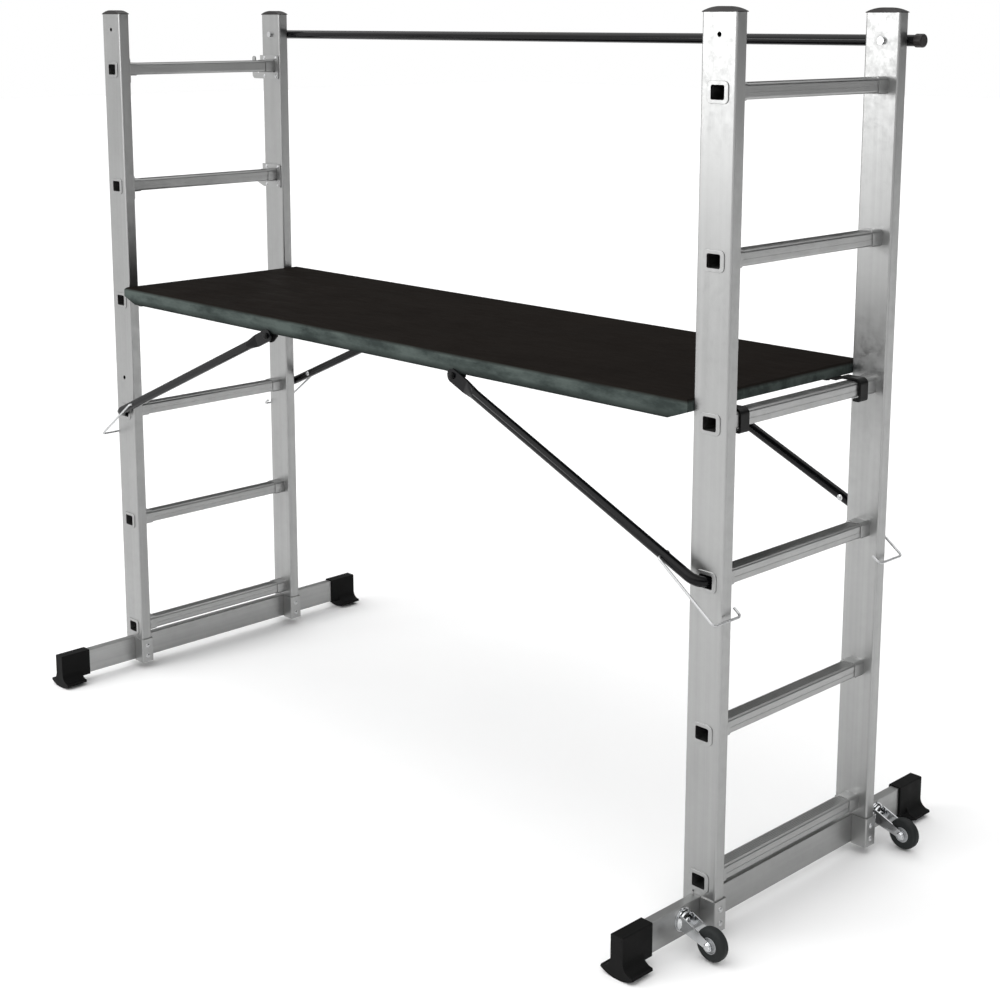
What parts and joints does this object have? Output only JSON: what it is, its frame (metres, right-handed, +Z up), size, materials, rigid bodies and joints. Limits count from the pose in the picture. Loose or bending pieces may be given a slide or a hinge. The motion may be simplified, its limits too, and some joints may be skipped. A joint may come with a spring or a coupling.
{
  "type": "baker scaffold",
  "caption": "Folding work platform on two six-rung ladder frames, with wire-latched braces, a handrail, stabiliser feet and tilt-to-roll castors.",
  "frame": {"origin": "centre of the bounding box's footprint, on the floor", "axes": "+X along the platform from the left frame to the right frame with the castors, +Y from the front to the back with the handrail, +Z up"},
  "size_m": [2.023, 0.9308, 1.6455],
  "materials": {
    "aluminium": "satin brushed extrusion",
    "bracket_steel": "zinc plated sheet",
    "zinc": "zinc plated",
    "chrome": "bright plated",
    "deck_black": "smooth black coating",
    "black_paint": "gloss black paint",
    "cap_plastic": "moulded black plastic",
    "foot_rubber": "moulded black rubber",
    "tyre": "dark grey rubber tread",
    "wheel_plastic": "grey moulded wheel hub"
  },
  "bodies": {
    "root": {"brace_brackets": "black_paint", "brace_pivot_bolts": "black_paint", "coupling_rivets": "zinc", "deck_crossbars": "black_paint", "deck_hook_bolts": "black_paint", "deck_panel": "deck_black", "front_castor_mount": "chrome", "handrail_bolts": "zinc", "handrail_end_caps": "cap_plastic", "handrail_tube": "black_paint", "left_bar_brackets": "bracket_steel", "left_bar_rivets": "zinc", "left_deck_hooks": "black_paint", "left_front_foot": "foot_rubber", "left_front_stile": "aluminium", "left_rear_foot": "foot_rubber", "left_rear_stile": "aluminium", "left_rung_1": "aluminium", "left_rung_2": "aluminium", "left_rung_3": "aluminium", "left_rung_4": "aluminium", "left_rung_5": "aluminium", "left_rung_6": "aluminium", "left_stabiliser_bar": "aluminium", "left_stile_caps": "cap_plastic", "lower_coupling_hooks": "bracket_steel", "rear_castor_mount": "chrome", "right_bar_brackets": "bracket_steel", "right_bar_rivets": "zinc", "right_deck_hooks": "black_paint", "right_front_foot": "foot_rubber", "right_front_stile": "aluminium", "right_rear_foot": "foot_rubber", "right_rear_stile": "aluminium", "right_rung_1": "aluminium", "right_rung_2": "aluminium", "right_rung_3": "aluminium", "right_rung_4": "aluminium", "right_rung_5": "aluminium", "right_rung_6": "aluminium", "right_stabiliser_bar": "aluminium", "right_stile_caps": "cap_plastic", "upper_coupling_hooks": "bracket_steel"},
    "left_front_brace_swing": {"left_front_brace": "black_paint"},
    "left_front_latch_swing": {"left_front_latch": "zinc"},
    "left_rear_brace_swing": {"left_rear_brace": "black_paint"},
    "left_rear_latch_swing": {"left_rear_latch": "zinc"},
    "right_front_brace_swing": {"right_front_brace": "black_paint"},
    "right_front_latch_swing": {"right_front_latch": "zinc"},
    "right_rear_brace_swing": {"right_rear_brace": "black_paint"},
    "right_rear_latch_swing": {"right_rear_latch": "zinc"},
    "front_castor_swivel": {"front_castor_fork": "chrome", "front_castor_axle": "chrome"},
    "front_castor_wheel": {"front_castor_hub": "wheel_plastic", "front_castor_tyre": "tyre"},
    "rear_castor_swivel": {"rear_castor_fork": "chrome", "rear_castor_axle": "chrome"},
    "rear_castor_wheel": {"rear_castor_hub": "wheel_plastic", "rear_castor_tyre": "tyre"}
  },
  "joints": [
    {"name": "left_front_brace_hinge", "type": "hinge", "parent": "root", "child": "left_front_brace_swing", "pos_m": [-0.3145, -0.272, 0.941], "axis": [-0.4055, 0, 0.9141], "range_deg": [0, 5]},
    {"name": "left_front_latch_hinge", "type": "hinge", "parent": "left_front_brace_swing", "child": "left_front_latch_swing", "pos_m": [-0.85589, -0.272, 0.70087], "axis": [0, 1, 0], "range_deg": [0, 90]},
    {"name": "left_rear_brace_hinge", "type": "hinge", "parent": "root", "child": "left_rear_brace_swing", "pos_m": [-0.3145, 0.272, 0.941], "axis": [0.4055, 0, -0.9141], "range_deg": [0, 5]},
    {"name": "left_rear_latch_hinge", "type": "hinge", "parent": "left_rear_brace_swing", "child": "left_rear_latch_swing", "pos_m": [-0.85589, 0.272, 0.70087], "axis": [0, 1, 0], "range_deg": [0, 90]},
    {"name": "right_front_brace_hinge", "type": "hinge", "parent": "root", "child": "right_front_brace_swing", "pos_m": [0.2855, -0.272, 0.941], "axis": [-0.4055, 0, -0.9141], "range_deg": [0, 5]},
    {"name": "right_front_latch_hinge", "type": "hinge", "parent": "right_front_brace_swing", "child": "right_front_latch_swing", "pos_m": [0.82689, -0.272, 0.70087], "axis": [0, -1, 0], "range_deg": [0, 90]},
    {"name": "right_rear_brace_hinge", "type": "hinge", "parent": "root", "child": "right_rear_brace_swing", "pos_m": [0.2855, 0.272, 0.941], "axis": [0.4055, 0, 0.9141], "range_deg": [0, 5]},
    {"name": "right_rear_latch_hinge", "type": "hinge", "parent": "right_rear_brace_swing", "child": "right_rear_latch_swing", "pos_m": [0.82689, 0.272, 0.70087], "axis": [0, -1, 0], "range_deg": [0, 90]},
    {"name": "front_castor_swivel_joint", "type": "hinge", "parent": "root", "child": "front_castor_swivel", "pos_m": [0.9115, -0.302, 0.054], "axis": [1, 0, 0], "continuous": true},
    {"name": "front_castor_wheel_joint", "type": "hinge", "parent": "front_castor_swivel", "child": "front_castor_wheel", "pos_m": [0.9805, -0.302, 0.034], "axis": [0, 1, 0], "continuous": true},
    {"name": "rear_castor_swivel_joint", "type": "hinge", "parent": "root", "child": "rear_castor_swivel", "pos_m": [0.9115, 0.302, 0.054], "axis": [1, 0, 0], "continuous": true},
    {"name": "rear_castor_wheel_joint", "type": "hinge", "parent": "rear_castor_swivel", "child": "rear_castor_wheel", "pos_m": [0.9805, 0.302, 0.034], "axis": [0, 1, 0], "continuous": true}
  ],
  "couplings": [
    {"joint": "left_front_latch_hinge", "follows": "left_front_brace_hinge", "ratio": 18},
    {"joint": "left_rear_latch_hinge", "follows": "left_rear_brace_hinge", "ratio": 18},
    {"joint": "right_front_latch_hinge", "follows": "right_front_brace_hinge", "ratio": 18},
    {"joint": "right_rear_latch_hinge", "follows": "right_rear_brace_hinge", "ratio": 18}
  ]
}
